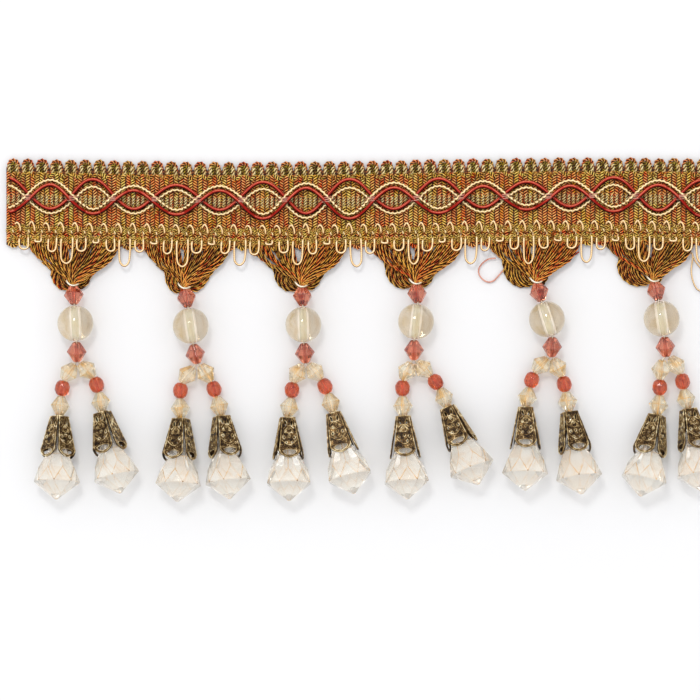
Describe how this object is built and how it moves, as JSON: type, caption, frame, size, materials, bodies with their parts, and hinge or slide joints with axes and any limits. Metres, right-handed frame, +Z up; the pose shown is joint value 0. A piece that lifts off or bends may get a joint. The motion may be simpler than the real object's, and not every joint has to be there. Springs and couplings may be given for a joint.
{
  "type": "beaded fringe trim",
  "caption": "Cut length of woven gimp trim with wavy cords and a looped edge, hung with yarn tassels that end in beaded strings and faceted drops in filigree caps",
  "frame": {"origin": "centre of the heading's flat back, which lies on the surface", "axes": "+X along the heading, +Y from the drops towards the scalloped edge, +Z up off the surface through the trim's face"},
  "size_m": [0.1767, 0.0846, 0.0111],
  "materials": {
    "gimp_yarn": "satin yarn in coral, gold and olive",
    "red_satin_cord": "satin",
    "cream_crinkled_cord": "satin",
    "cream_loop_thread": "satin",
    "skirt_yarn": "satin yarn in brown, coral and gold",
    "salmon_acrylic": "faceted, translucent",
    "champagne_acrylic": "faceted, clear",
    "clear_acrylic": "polished, clear",
    "drop_acrylic": "faceted, clear",
    "antique_brass": "pierced, antiqued"
  },
  "bodies": {
    "root": {"heading": "gimp_yarn", "over_cord_cream": "cream_crinkled_cord", "over_cord_red": "red_satin_cord", "under_cord_red": "red_satin_cord", "under_cord_cream": "cream_crinkled_cord", "loop_edging": "cream_loop_thread", "skirt_1": "skirt_yarn", "stem_1": "salmon_acrylic", "round_bead_1": "clear_acrylic", "leg_1_left": "champagne_acrylic", "cap_1_left": "antique_brass", "drop_1_left": "drop_acrylic", "leg_1_right": "champagne_acrylic", "cap_1_right": "antique_brass", "drop_1_right": "drop_acrylic", "skirt_2": "skirt_yarn", "stem_2": "salmon_acrylic", "round_bead_2": "clear_acrylic", "leg_2_left": "champagne_acrylic", "cap_2_left": "antique_brass", "drop_2_left": "drop_acrylic", "leg_2_right": "champagne_acrylic", "cap_2_right": "antique_brass", "drop_2_right": "drop_acrylic", "skirt_3": "skirt_yarn", "stem_3": "salmon_acrylic", "round_bead_3": "clear_acrylic", "leg_3_left": "champagne_acrylic", "cap_3_left": "antique_brass", "drop_3_left": "drop_acrylic", "leg_3_right": "champagne_acrylic", "cap_3_right": "antique_brass", "drop_3_right": "drop_acrylic", "skirt_4": "skirt_yarn", "stem_4": "salmon_acrylic", "round_bead_4": "clear_acrylic", "leg_4_left": "champagne_acrylic", "cap_4_left": "antique_brass", "drop_4_left": "drop_acrylic", "leg_4_right": "champagne_acrylic", "cap_4_right": "antique_brass", "drop_4_right": "drop_acrylic", "skirt_5": "skirt_yarn", "stem_5": "salmon_acrylic", "round_bead_5": "clear_acrylic", "leg_5_left": "champagne_acrylic", "cap_5_left": "antique_brass", "drop_5_left": "drop_acrylic", "leg_5_right": "champagne_acrylic", "cap_5_right": "antique_brass", "drop_5_right": "drop_acrylic", "skirt_6": "skirt_yarn", "stem_6": "salmon_acrylic", "round_bead_6": "clear_acrylic", "leg_6_left": "champagne_acrylic", "cap_6_left": "antique_brass", "drop_6_left": "drop_acrylic", "leg_6_right": "champagne_acrylic", "cap_6_right": "antique_brass", "drop_6_right": "drop_acrylic"}
  },
  "joints": []
}
